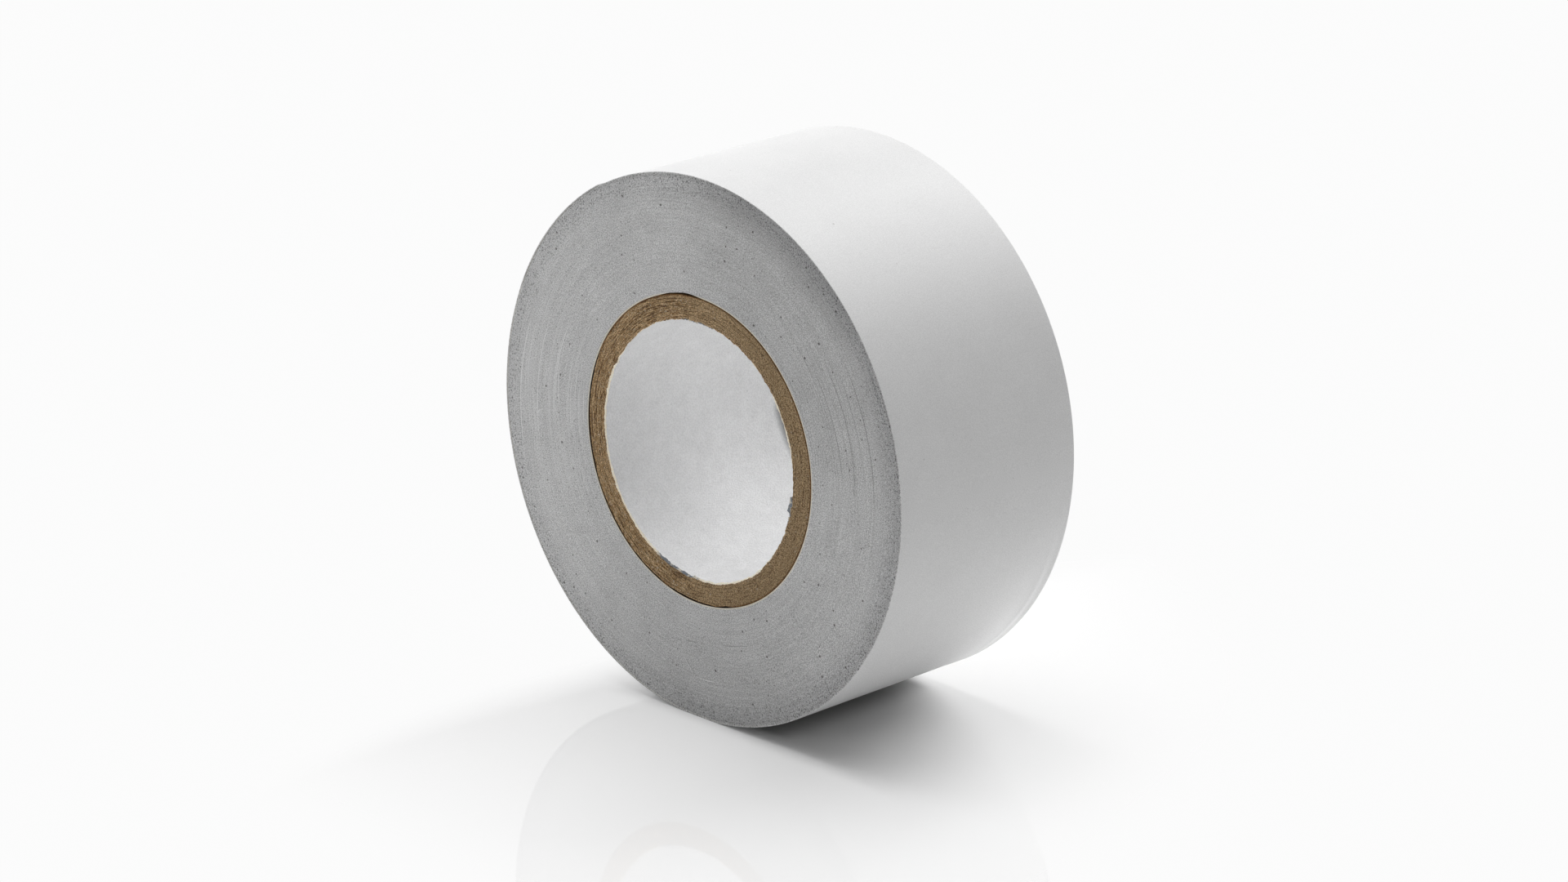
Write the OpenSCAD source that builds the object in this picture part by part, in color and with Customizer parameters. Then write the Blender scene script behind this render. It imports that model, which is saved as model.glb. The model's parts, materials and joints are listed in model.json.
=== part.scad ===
// Full roll of PVC tape on a wound card core. It stands on its edge: the roll's axis is Y, Z is up,
// and the origin is on the axis at the middle of the tape's width. Angles round the roll are measured
// from +X towards +Z, as seen from the front face, which looks towards -Y.

/* [Core] */
// Diameter of the hole through the core
bore_d = 38.6; // [25:0.1:78]
// Thickness of the white paper that lines the hole
liner_t = 0.25; // [0.15:0.01:0.6]
// Thickness of each layer of brown card
ply_t = 0.57; // [0.3:0.01:1]
// Length of core in which a layer's strip winds once round
seam_lead = 73; // [60:1:160]
// Width of the butt seam between the edges of a layer's strip
seam_w = 0.2; // [0.1:0.05:0.6]

/* [Tape] */
// Width of the tape, and of the core
tape_w = 35; // [12:1:60]
// Thickness of the tape with its adhesive
tape_t = 0.18; // [0.1:0.01:0.3]
// Turns of tape on the roll, the outer turn included
turns = 98; // [40:1:150]
// Place round the core where the tape starts
start_angle = 97; // [0:1:359]
// Depth of the flat that the roll stands on
stand_flat = 0.5; // [0.2:0.05:1]

/* [Free end] */
// Place round the roll of the tape's free edge
edge_angle = 120; // [100:1:180]
// Length of tape at the free edge that is peeled back
tail_l = 24; // [15:0.5:36]
// Clearance under and between the lengths of the peeled tape
tail_gap = 0.05; // [0.02:0.01:0.15]

/* [Hidden] */
$fn = 180;

// Layers of brown card in the core
plies = 6;
// Seams of neighbouring layers lie this far apart round the core
seam_step = 77;
// Place of the liner's seam at the middle of the core's length
seam_angle = 31.5;
// Straight steps that follow a seam's helix along the core
seam_steps = 24;
// Sides of a seam's slot, with no more points along them
slot_sides = 4;
// How far a cutter runs past what it cuts
cut_over = 1;

bore_r = bore_d / 2;
card_r = bore_r + liner_t;
core_r = card_r + plies * ply_t;
// Radius of the pack under the outer turn, on the half turn that follows the tape's free edge
pack_r = core_r + (turns - 1) * tape_t;
// A wound outline is two half circles. The second is wider and its centre lies further out, which makes
// the step of one tape thickness at the free edge.
half_step = tape_t / 2;
roll_r = pack_r + 2 * tape_t;

// Lengths that the peeled tape bends in
tail_lengths = 3;
tail_inner_r = pack_r + half_step + tail_gap;
tail_outer_r = tail_inner_r + tape_t;
tail_sweep = degrees_of(tail_l, tail_outer_r);
gap_sweep = degrees_of(tail_gap, tail_outer_r);

function degrees_of(length, radius) = length / radius * 180 / PI;
function on_circle(radius, angle) = radius * [cos(angle), sin(angle)];

// Centre of the wider half circle
step_centre = on_circle(half_step, edge_angle);

// Angle past the free edge at which one length of the peeled tape starts, and its hinge line, which
// lies on the tape's outer surface in the middle of the gap there
function tail_start(k) = tail_sweep * (1 - k / tail_lengths);
function hinge_line(k) =
    step_centre + on_circle(tail_outer_r, edge_angle + tail_start(k) - gap_sweep / 2);

// Points along the outer face of the outer turn, by the share of the turn from its covered end
turn_sweep = 360 - tail_sweep;
function turn_point(share) =
    share * turn_sweep < 180
        ? on_circle(pack_r + tape_t, edge_angle - share * turn_sweep)
        : step_centre + on_circle(pack_r + tape_t + half_step, edge_angle - share * turn_sweep);
turn_points = [for (i = [0:72]) turn_point(i / 72)];
self_gaps = [for (i = [0:18]) for (j = [54:72]) norm(turn_points[i] - turn_points[j])];
echo("Least gap from the outer turn to itself, in mm:", min(self_gaps));
echo("Tape on the roll, in m:", PI * (pow(pack_r + tape_t, 2) - pow(core_r, 2)) / tape_t / 1000);
echo("Bottom of the flat below the axis, in mm:", pack_r + tape_t - stand_flat);
echo("Hinge lines of the peeled tape, X and Z in mm:", [for (k = [0:tail_lengths - 1]) hinge_line(k)]);

// A profile drawn in X and Z, carried across the width of the tape
module across() {
    rotate([90, 0, 0])
        linear_extrude(height = tape_w, center = true)
            children();
}

// Half disc on the line through the free edge: side is 1 before the edge and -1 after it
module half_disc(radius, side) {
    reach = radius + cut_over;
    intersection() {
        circle(r = radius);
        translate([-reach, side > 0 ? 0 : -reach])
            square([2 * reach, reach]);
    }
}

// Outline of wound tape, with its step at the free edge. low_r is its radius just after the step.
module wound_outline(low_r) {
    rotate(edge_angle) {
        half_disc(low_r, -1);
        translate([half_step, 0])
            half_disc(low_r + half_step, 1);
    }
}

// The same, pressed flat where the roll stands
module standing_outline(low_r) {
    difference() {
        wound_outline(low_r);
        translate([-roll_r, -roll_r - (low_r - stand_flat)])
            square([2 * roll_r, roll_r]);
    }
}

// Sector about the wider half circle's centre, between two angles past the free edge
module tail_sector(from_angle, to_angle) {
    reach = roll_r + cut_over;
    middle = (from_angle + to_angle) / 2;
    translate(step_centre)
        rotate(edge_angle)
            polygon([[0, 0], on_circle(reach, from_angle), on_circle(reach / cos(middle - from_angle), middle),
                     on_circle(reach, to_angle)]);
}

// The hollow beside the tape's first edge, where the next turn climbs over it on a straight line
module start_hollow() {
    climb = acos(core_r / (core_r + tape_t));
    polygon([[0, 0], on_circle(core_r + tape_t, start_angle), on_circle(core_r, start_angle + climb)]);
}

// Slot of a helical butt seam through one layer of the core, at an angle given for the middle
module seam(inner_r, wall, angle) {
    seam_l = tape_w + 2 * cut_over;
    seam_twist = 360 * seam_l / seam_lead;
    rotate([90, 0, 0])
        rotate(angle + seam_twist / 2)
            linear_extrude(height = seam_l, center = true, twist = seam_twist,
                           slices = seam_steps, segments = slot_sides)
                translate([inner_r - cut_over, -seam_w / 2])
                    square([wall + 2 * cut_over, seam_w]);
}

// One layer of the core: a strip wound on a helix until its edges meet at the seam
module core_layer(inner_r, wall, angle) {
    difference() {
        across()
            difference() {
                circle(r = inner_r + wall);
                circle(r = inner_r);
            }
        seam(inner_r, wall, angle);
    }
}

// White paper that lines the hole
module core_liner() {
    color("whitesmoke")
        core_layer(bore_r, liner_t, seam_angle);
}

// Brown card, counted from the hole outwards
module core_ply(n) {
    color(n % 2 == 1 ? "#8a7350" : "#7d6847")
        core_layer(card_r + (n - 1) * ply_t, ply_t, seam_angle + n * seam_step);
}

// Every turn but the outer one, pressed into one pack round the core
module tape_winding() {
    color("#b4b4b2")
        across()
            difference() {
                standing_outline(pack_r);
                circle(r = core_r);
                start_hollow();
            }
}

// The outer turn of tape, from under the free edge to the length that is peeled back
module tape_outer_turn() {
    color("#e6e6e4")
        across()
            difference() {
                standing_outline(pack_r + tape_t);
                standing_outline(pack_r);
                tail_sector(0, tail_sweep);
            }
}

// One length of the peeled tape, counted from the roll to the free edge
module tape_tail(k) {
    color("#f2f2f0")
        across()
            intersection() {
                translate(step_centre)
                    difference() {
                        circle(r = tail_outer_r);
                        circle(r = tail_inner_r);
                    }
                tail_sector(tail_start(k + 1), tail_start(k) - gap_sweep);
            }
}

core_liner();
core_ply(1);  // core_ply_1
core_ply(2);  // core_ply_2
core_ply(3);  // core_ply_3
core_ply(4);  // core_ply_4
core_ply(5);  // core_ply_5
core_ply(6);  // core_ply_6
tape_winding();
tape_outer_turn();
tape_tail(0);  // tape_tail_root
tape_tail(1);  // tape_tail_middle
tape_tail(2);  // tape_tail_tip
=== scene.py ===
import json
import math

import bmesh
import bpy
import numpy as np
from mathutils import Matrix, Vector


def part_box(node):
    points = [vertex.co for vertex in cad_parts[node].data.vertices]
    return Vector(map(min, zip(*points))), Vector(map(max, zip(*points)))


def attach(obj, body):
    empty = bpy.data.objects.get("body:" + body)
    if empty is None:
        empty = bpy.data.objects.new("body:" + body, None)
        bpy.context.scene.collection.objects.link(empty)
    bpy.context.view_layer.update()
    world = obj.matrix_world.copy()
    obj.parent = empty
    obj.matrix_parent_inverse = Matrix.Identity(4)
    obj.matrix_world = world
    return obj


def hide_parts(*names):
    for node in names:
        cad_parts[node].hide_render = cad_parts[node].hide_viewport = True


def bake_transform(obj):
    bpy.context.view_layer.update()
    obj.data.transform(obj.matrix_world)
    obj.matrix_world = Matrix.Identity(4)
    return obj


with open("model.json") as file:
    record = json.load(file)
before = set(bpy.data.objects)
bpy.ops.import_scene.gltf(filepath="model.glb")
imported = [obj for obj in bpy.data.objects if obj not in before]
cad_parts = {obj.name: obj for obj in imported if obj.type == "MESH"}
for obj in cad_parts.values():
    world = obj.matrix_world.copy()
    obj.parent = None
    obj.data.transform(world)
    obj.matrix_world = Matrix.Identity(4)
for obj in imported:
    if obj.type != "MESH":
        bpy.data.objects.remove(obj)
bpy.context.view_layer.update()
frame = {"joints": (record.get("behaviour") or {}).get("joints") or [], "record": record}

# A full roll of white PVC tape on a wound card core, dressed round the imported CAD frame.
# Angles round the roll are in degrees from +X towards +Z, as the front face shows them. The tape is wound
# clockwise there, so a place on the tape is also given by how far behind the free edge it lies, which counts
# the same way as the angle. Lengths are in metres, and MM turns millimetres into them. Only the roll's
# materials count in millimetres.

MM = 0.001
TURN = 360.0
HALF_TURN = 180.0
QUARTER_TURN = 90.0

# Sizes of the roll, read from the frame
MOUNTS = {mount["name"]: mount for mount in frame["record"]["mounts"]}
HINGES = {joint["name"]: joint["pos_m"] for joint in frame["joints"]}
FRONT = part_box("core_liner")[0].y
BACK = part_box("core_liner")[1].y
WIDTH = BACK - FRONT
PLIES = [f"core_ply_{n}" for n in range(1, 7)]
BORE_R = MOUNTS["core_bore"]["dims"]["r_mm"] * MM
LAYER_R = [BORE_R] + [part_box(node)[1].x for node in ["core_liner", *PLIES]]
CORE_R = LAYER_R[-1]
PACK_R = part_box("tape_winding")[1].x
TURN_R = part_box("tape_outer_turn")[1].x
TAPE_T = TURN_R - PACK_R

# The roll presses a flat this deep where it stands. The CAD solids have a deeper one.
FLAT = 0.12 * MM
PACK_STAND = PACK_R - FLAT
STAND = TURN_R - FLAT

# How the tape and the core are wound, as the CAD source has it
EDGE_ANGLE = 120.0
START_ANGLE = 97.0
PACK_TURNS = round((PACK_R - CORE_R) / TAPE_T)
TAIL_RISE = 0.05 * MM
SEAM_LEAD = 73 * MM
SEAM_STEP = 77.0
SEAM_MIDDLE = 31.5
# The seams are narrower than those of the CAD solids
SEAM_GAP = 0.06 * MM
# How far in from each end the hole's rim is ragged, and the angles at which the liner's cut edge shows on the
# right
RIM_REACH = 0.6 * MM
CUT_RIGHT = (14, 37)

# The spiral step that the knife left on the roll's faces, in millimetres: the radius where it passes an angle
# on the front face, how far out it moves in one turn, and how deep it is
KNIFE_R = 29.9
KNIFE_ANGLE = 155
KNIFE_PITCH = 3.65
KNIFE_DEPTH = 0.04

# Smoothness of the meshes
TURN_STEPS = 180
RIM_STEPS = 800
LAYER_STEPS = 480
WRAP_STEP = 1.0
TAIL_STEP = 0.5

# Light that comes through the liner's thin cut edge
PAPER_GLOW = 0.16
# How bright the surroundings look in what shines
SKY = 0.75
# The floor: its size and gloss, and how light it looks where it is plain
FLOOR_REACH = 6.0
FLOOR_IOR = 1.45
FLOOR_WHITE = 0.97
# How plain the floor is just in front of the roll, and what is left of its tone in the contact shadow painted
# where the flat meets it
NEAR_PLAIN = 0.42
CONTACT_SHADOW_TONE = 0.4
# How much light the floor throws back under the roll and further out, and how much it glows behind the roll
BOUNCE_UNDER = 0.5
BOUNCE = 0.88
REAR_GLOW = 0.82
# The roll's shade is short on the left, so distances count this many times there
LEFT_TIMES = 2.6
# Soft lamps: name, place, size and power in watts
LAMPS = [("overhead", (-0.695, 0.0, 1.204), 2.6, 14.3), ("above", (-0.587, 0.0, 1.26), 0.8, 5.2),
         ("behind", (0.0, 1.0, 0.8), 1.0, 11.5), ("left", (-1.4, 0.0, 0.24), 0.8, 3.9),
         ("right", (1.0, -1.0, 0.2), 0.8, 3.0), ("front", (0.2, -1.2, 0.8), 0.8, 1.4)]


def eased(share):
    """A share from 0 to 1 that starts and ends gently."""
    share = np.clip(share, 0.0, 1.0)
    return share * share * (3 - 2 * share)


def bell(distance, width):
    """A hump of height 1, which has mostly gone at one width from its middle."""
    return np.exp(-2.0 * (np.asarray(distance) / width) ** 2)


def apart(angle, middle):
    """How far an angle is from a middle one, from -180 to 180 degrees."""
    return np.mod(np.asarray(angle) - middle + HALF_TURN, TURN) - HALF_TURN


def stretch(angle, first, last, fade):
    """1 from the first angle to the last, counted anticlockwise, fading to 0 outside."""
    half = np.mod(last - first, TURN) / 2
    return eased((half + fade - np.abs(apart(angle, first + half))) / fade)


def ring_wave(angle, seed, waves, fall=0.5):
    """A random wave round the roll, mostly from -1 to 1, that closes on itself."""
    random = np.random.default_rng(seed)
    count = np.arange(1, waves + 1)
    size = count ** -fall
    phase = random.uniform(0, 2 * math.pi, waves)
    turned = np.linspace(0, 2 * math.pi, 3601)
    wave = (size * np.cos(turned[:, None] * count + phase)).sum(-1) / math.sqrt(2 * (size ** 2).sum())
    return np.interp(np.mod(angle, TURN), np.degrees(turned), wave)


def strip_wave(place, seed, step):
    """A random wave along a strip, mostly from -1 to 1. place and step are in the same unit."""
    random = np.random.default_rng(seed)
    knots = random.normal(0, 0.6, int(np.max(place) / step) + 3)
    cell = np.floor(place / step).astype(int)
    return knots[cell] + (knots[cell + 1] - knots[cell]) * eased(place / step - cell)


def polar(radius, angle, y):
    """Points at a radius and an angle round the roll's axis."""
    radius, angle, y = np.broadcast_arrays(radius, np.radians(angle), y)
    return np.stack([radius * np.cos(angle), y, radius * np.sin(angle)], -1)


def tape_rise(behind):
    """How far wound tape has risen, in its own thickness, over the half turn that ends at the free edge."""
    return np.where(behind < HALF_TURN, (1 + np.cos(np.radians(behind))) / 2, 0.0)


def flat_radius(angle, stand):
    """How far from the axis the flat lies. Away from the bottom it is only somewhere outside the roll."""
    least = 0.2
    return stand / np.maximum(-np.sin(np.radians(angle)), least)


def pressed(radius, angle, stand):
    """The radius of a round outline pressed flat where it stands, with soft corners."""
    soft = 0.06 * MM
    inside = np.exp((PACK_R - radius) / soft) + np.exp((PACK_R - flat_radius(angle, stand)) / soft)
    return PACK_R - soft * np.log(inside)


# Meshes

def loop_faces(rows, columns):
    """Corner numbers of the quads between closed loops, for points numbered along each loop in turn."""
    row = np.arange(rows - 1)[:, None] * columns
    column = np.arange(columns)[None, :]
    following = (column + 1) % columns
    corners = [row + column, row + following, row + columns + following, row + columns + column]
    return np.stack(np.broadcast_arrays(*corners), -1).reshape(-1, 4)


def new_piece(name, points, faces, finishes, finish_numbers, sharp=35.0):
    """A closed, smooth-shaded piece, with the number of a finish for each face."""
    mesh = bpy.data.meshes.new(name)
    mesh.from_pydata(np.asarray(points).reshape(-1, 3).tolist(), [], [tuple(face) for face in faces])
    for finish in finishes:
        mesh.materials.append(finish)
    mesh.polygons.foreach_set("material_index", np.asarray(finish_numbers, np.int32))
    shape = bmesh.new()
    shape.from_mesh(mesh)
    bmesh.ops.recalc_face_normals(shape, faces=shape.faces)
    shape.to_mesh(mesh)
    shape.free()
    mesh.shade_smooth()
    mesh.set_sharp_from_angle(angle=math.radians(sharp))
    piece = bpy.data.objects.new(name, mesh)
    bpy.context.scene.collection.objects.link(piece)
    return piece


# Nodes

class Value:
    """A node's output. Sums, differences, products and quotients of values make Math nodes."""

    def __init__(self, socket):
        self.socket = socket
        self.tree = socket.id_data

    def __add__(self, other):
        return maths("ADD", self, other)

    def __sub__(self, other):
        return maths("SUBTRACT", self, other)

    def __rsub__(self, other):
        return maths("SUBTRACT", other, self)

    def __mul__(self, other):
        return maths("MULTIPLY", self, other)

    def __truediv__(self, other):
        return maths("DIVIDE", self, other)

    def __rtruediv__(self, other):
        return maths("DIVIDE", other, self)


def wire(value, socket):
    """Joins a value to a socket, or writes a plain number or colour there."""
    if isinstance(value, Value):
        value.tree.links.new(value.socket, socket)
    else:
        socket.default_value = value


def tree_of(*values):
    return next(value.tree for value in values if isinstance(value, Value))


def new_node(kind, *values):
    """A node with the values in its first inputs, at least one of which comes from another node."""
    node = tree_of(*values).nodes.new(kind)
    for value, socket in zip(values, node.inputs):
        wire(value, socket)
    return node


def maths(operation, *values, clamp=False):
    node = new_node("ShaderNodeMath", *values)
    node.operation = operation
    node.use_clamp = clamp
    return Value(node.outputs[0])


def ramp(value, low, high, first=0.0, last=1.0):
    """Goes smoothly from the first value to the last as the input goes from low to high."""
    node = new_node("ShaderNodeMapRange", value, low, high, first, last)
    node.interpolation_type = "SMOOTHSTEP"
    return Value(node.outputs[0])


def spread(share, first, last):
    """Goes smoothly from the first value to the last as a share goes from 0 to 1."""
    return ramp(share, 0.0, 1.0, first, last)


def mixed(share, first, second, kind="MIX"):
    """Two colours mixed. The colour sockets of a Mix node are its seventh and eighth inputs."""
    node = tree_of(share, first, second).nodes.new("ShaderNodeMix")
    node.data_type = "RGBA"
    node.blend_type = kind
    wire(share, node.inputs[0])
    for colour, socket in ((first, node.inputs[6]), (second, node.inputs[7])):
        wire(colour if isinstance(colour, Value) else (*colour, 1), socket)
    return Value(node.outputs[2])


def darker(colour, mask, tint):
    """The colour multiplied by a tint where the mask is 1."""
    return mixed(mask, colour, tint, "MULTIPLY")


def multiplied(colour, factor):
    """The colour multiplied by a number."""
    return mixed(1.0, colour, joined(factor, factor, factor), "MULTIPLY")


def texture(kind, place, scale, **values):
    """A noise or cell texture. Its scale is in cells for each millimetre."""
    node = place.tree.nodes.new(kind)
    wire(place, node.inputs["Vector"])
    wire(scale, node.inputs["Scale"])
    for name, value in values.items():
        wire(value, node.inputs[name])
    return node


def noise(place, scale, detail=2.0, roughness=0.5):
    return Value(texture("ShaderNodeTexNoise", place, scale, Detail=detail, Roughness=roughness).outputs[0])


def joined(*parts):
    """A vector or a colour from its three parts."""
    return Value(new_node("ShaderNodeCombineXYZ", *parts).outputs[0])


def split(value, kind="ShaderNodeSeparateXYZ"):
    """The three parts of a vector or a colour."""
    return [Value(part) for part in new_node(kind, value).outputs]


def diagonal(first, second):
    """The diagonal of a rectangle with these two sides."""
    return maths("SQRT", maths("POWER", first, 2.0) + maths("POWER", second, 2.0))


def new_effect(name, takes, gives):
    """A node group with the names of what it takes and gives. Places are vectors, and all else is numbers."""
    tree = bpy.data.node_groups.new(name, "ShaderNodeTree")
    for sockets, side in ((takes, "INPUT"), (gives, "OUTPUT")):
        for socket in sockets:
            kind = "Vector" if socket in ("Space", "On Face", "Wound", "Around", "Place") else "Float"
            tree.interface.new_socket(name=socket, in_out=side, socket_type="NodeSocket" + kind)
    given = tree.nodes.new("NodeGroupInput").outputs
    result = tree.nodes.new("NodeGroupOutput").inputs
    return tree, {socket: Value(given[socket]) for socket in takes}, result


def effect(tree, group, **values):
    """Places a node group and gives its outputs. Its inputs are given by name, with _ for a space."""
    node = tree.nodes.new("ShaderNodeGroup")
    node.node_tree = group
    for name, value in values.items():
        wire(value, node.inputs[name.replace("_", " ")])
    return {socket.name: Value(socket) for socket in node.outputs}


def roll_place_effect():
    """Places on the roll in millimetres: in space, on a side face, and round it. Angle is in degrees from the
    top towards +X, and Depth is how far a place lies behind the front face."""
    gives = ["Space", "On Face", "Wound", "Around", "Radius", "Angle", "Depth"]
    tree, _, result = new_effect("roll_place", [], gives)
    scaled = new_node("ShaderNodeVectorMath", Value(tree.nodes.new("ShaderNodeTexCoord").outputs["Object"]))
    scaled.operation = "SCALE"
    scaled.inputs["Scale"].default_value = 1 / MM
    space = Value(scaled.outputs[0])
    x, y, z = split(space)
    radius = diagonal(x, z)
    turned = maths("ARCTAN2", x, z)
    # Wound lies on a cone, on which lines are as long as they say where the radius is this
    true_r = 30.0
    shrink = true_r / maths("MAXIMUM", radius, 1.0)
    found = {"Space": space, "On Face": joined(x, z, 0.0), "Wound": joined(x * shrink, z * shrink, radius),
             "Around": joined(turned * radius, y, 0.0), "Radius": radius, "Angle": maths("DEGREES", turned),
             "Depth": y + WIDTH / 2 / MM}
    for name, value in found.items():
        wire(value, result[name])
    return tree


def wound_lines_effect():
    """Lines that follow the winding, from 0 to 1. Along and Across are their sizes in millimetres."""
    takes = ["Wound", "Along", "Across", "Low", "High"]
    tree, given, result = new_effect("wound_lines", takes, ["Lines"])
    x, z, radius = split(given["Wound"])
    place = joined(x / given["Along"], z / given["Along"], radius / given["Across"])
    wire(ramp(noise(place, 1.0, 2.0, 0.6), given["Low"], given["High"]), result["Lines"])
    return tree


def specks_effect():
    """Small round specks at random places. Share is how many places have one. Sizes are in millimetres."""
    tree, given, result = new_effect("specks", ["Place", "Spacing", "Size", "Share"], ["Specks"])
    cells = texture("ShaderNodeTexVoronoi", given["Place"], 1.0 / given["Spacing"])
    cells.voronoi_dimensions = "2D"
    chance, other_chance, _ = split(Value(cells.outputs["Color"]), "ShaderNodeSeparateColor")
    ragged = noise(given["Place"], 9.0) * 0.9
    away = Value(cells.outputs["Distance"]) * given["Spacing"]
    inside = given["Size"] * (other_chance + ragged) - away
    chosen = maths("LESS_THAN", chance, given["Share"])
    wire(ramp(inside, 0.0, given["Size"] * 0.5) * chosen, result["Specks"])
    return tree


def grain_effect():
    """Even grain from 0 to 1, of a size in millimetres. The noise is 0 up to Low and 1 from High on."""
    tree, given, result = new_effect("grain", ["Space", "Size", "Low", "High"], ["Grain"])
    value = noise(given["Space"], 1.0 / given["Size"], 3.0, 0.55)
    wire(ramp(value, given["Low"], given["High"]), result["Grain"])
    return tree


def face_mark_effect():
    """One short mark on a side face, such as a scratch. Slope, in millimetres a degree, leans it outwards."""
    takes = ["Radius", "Angle", "At Radius", "At Angle", "Reach", "Width", "Slope"]
    tree, given, result = new_effect("face_mark", takes, ["Mark"])
    along = given["Angle"] - given["At Angle"]
    off = maths("ABSOLUTE", given["Radius"] - (given["At Radius"] + along * given["Slope"]))
    full_width, full_reach = 0.55, 0.5
    narrow = ramp(off, given["Width"] * full_width, given["Width"], 1.0, 0.0)
    short = ramp(maths("ABSOLUTE", along), given["Reach"] * full_reach, given["Reach"], 1.0, 0.0)
    wire(narrow * short, result["Mark"])
    return tree


ROLL_PLACE = roll_place_effect()
WOUND_LINES = wound_lines_effect()
SPECKS = specks_effect()
GRAIN = grain_effect()
FACE_MARK = face_mark_effect()


# Parts of the materials

def new_finish(name):
    """A material, the inputs of its shader, and the places on the roll."""
    material = bpy.data.materials.new(name)
    material.use_nodes = True
    tree = material.node_tree
    return material, tree.nodes["Principled BSDF"].inputs, effect(tree, ROLL_PLACE)


def set_surface(shader, colour, roughness, height, depth, shine=0.5):
    """Joins up a shader. The relief is depth millimetres deep where the height goes from 0 to 1."""
    shader["Specular IOR Level"].default_value = shine
    relief = height.tree.nodes.new("ShaderNodeBump")
    relief.inputs["Distance"].default_value = depth * MM
    wire(height, relief.inputs["Height"])
    wire(colour, shader["Base Color"])
    wire(roughness, shader["Roughness"])
    wire(Value(relief.outputs[0]), shader["Normal"])


def new_grain(place, size, low, high):
    """Grain of a size. The closer low and high are, the stronger it is."""
    return effect(place["Space"].tree, GRAIN, Space=place["Space"], Size=size, Low=low, High=high)["Grain"]


def new_lines(place, along, across, low, high):
    """Lines of a length and a width. The higher low and high are, the fewer there are."""
    return effect(place.tree, WOUND_LINES, Wound=place, Along=along, Across=across, Low=low,
                  High=high)["Lines"]


def new_specks(place, spacing, size, share):
    """Specks at a spacing, of a size, in a share of the places for them."""
    return effect(place.tree, SPECKS, Place=place, Spacing=spacing, Size=size, Share=share)["Specks"]


def face_marks(place, marks):
    """Several short marks in one mask."""
    total = None
    for radius, angle, reach, width, slope in marks:
        from_top = float(apart(QUARTER_TURN, angle))
        mark = effect(place["Radius"].tree, FACE_MARK, Radius=place["Radius"], Angle=place["Angle"],
                      At_Radius=radius, At_Angle=from_top, Reach=reach, Width=width, Slope=-slope)["Mark"]
        total = mark if total is None else maths("MAXIMUM", total, mark)
    return total


def near_angle(place, angle, reach):
    """1 at an angle round the roll, falling to 0 at the reach, in degrees."""
    turned = maths("RADIANS", place["Angle"]) - math.radians(QUARTER_TURN - angle)
    return ramp(maths("COSINE", turned), math.cos(math.radians(reach)), 1.0)


# Marks on the roll's sides: radius in millimetres, angle, reach in degrees, width and slope
DARK_MARKS = [
    (26.55, 10.4, 2.2, 0.07, 0.0), (31.35, 3.0, 1.6, 0.09, -0.06), (38.9, 153.5, 1.0, 0.12, 0.5),
    (37.4, 154.5, 1.8, 0.1, -0.35), (30.1, 261.0, 2.2, 0.07, -0.1), (29.3, 267.0, 3.0, 0.08, -0.1),
    (28.65, 286.0, 6.0, 0.07, 0.01), (28.0, 272.0, 1.4, 0.07, -0.2), (28.1, 274.5, 1.0, 0.08, 0.6),
    (40.0, 250.3, 0.8, 0.16, 0.6), (33.2, 267.0, 2.4, 0.08, 0.5), (39.3, 25.0, 5.5, 0.08, 0.02)]
# Pale scratches, with painted highlights where the knife's step faces the light on the left, given in the
# same way
PALE_MARKS_AND_STEP_HIGHLIGHTS = [
    (26.3, 252.5, 2.8, 0.07, 0.045), (34.2, 252.5, 2.3, 0.07, 0.055), (34.25, 257.7, 1.0, 0.07, 0.06),
    (34.5, 272.5, 3.2, 0.08, -0.02), (33.0, 266.0, 2.2, 0.06, 0.55), (32.35, 173.0, 3.0, 0.07, 0.06),
    (25.9, 172.0, 12.0, 0.08, -0.008), (24.1, 177.0, 7.0, 0.07, 0.0), (29.5, 174.0, 9.0, 0.07, -0.05),
    (37.58, 177.0, 20.0, 0.11, 0.027), (33.85, 174.0, 20.0, 0.1, 0.0175), (30.1, 170.0, 20.0, 0.1, 0.0122),
    (30.45, 172.0, 15.0, 0.07, 0.012), (27.4, 173.0, 14.0, 0.07, 0.004), (36.1, 168.0, 9.0, 0.06, 0.015),
    (26.9, 179.0, 10.0, 0.06, 0.0), (25.1, 181.0, 12.0, 0.06, 0.0), (31.4, 184.0, 9.0, 0.06, 0.01)]
# Painted shade where the knife's step faces away from the light, on the right, given in the same way
KNIFE_STEP_SHADE = [
    (31.76, 18.0, 22.0, 0.1, 0.0086), (35.38, 17.5, 19.0, 0.13, 0.0087), (29.2, 20.0, 20.0, 0.08, 0.0),
    (39.55, 26.5, 7.0, 0.1, -0.03), (27.9, 24.0, 12.0, 0.06, 0.004), (33.5, 22.0, 14.0, 0.06, 0.01)]
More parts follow.
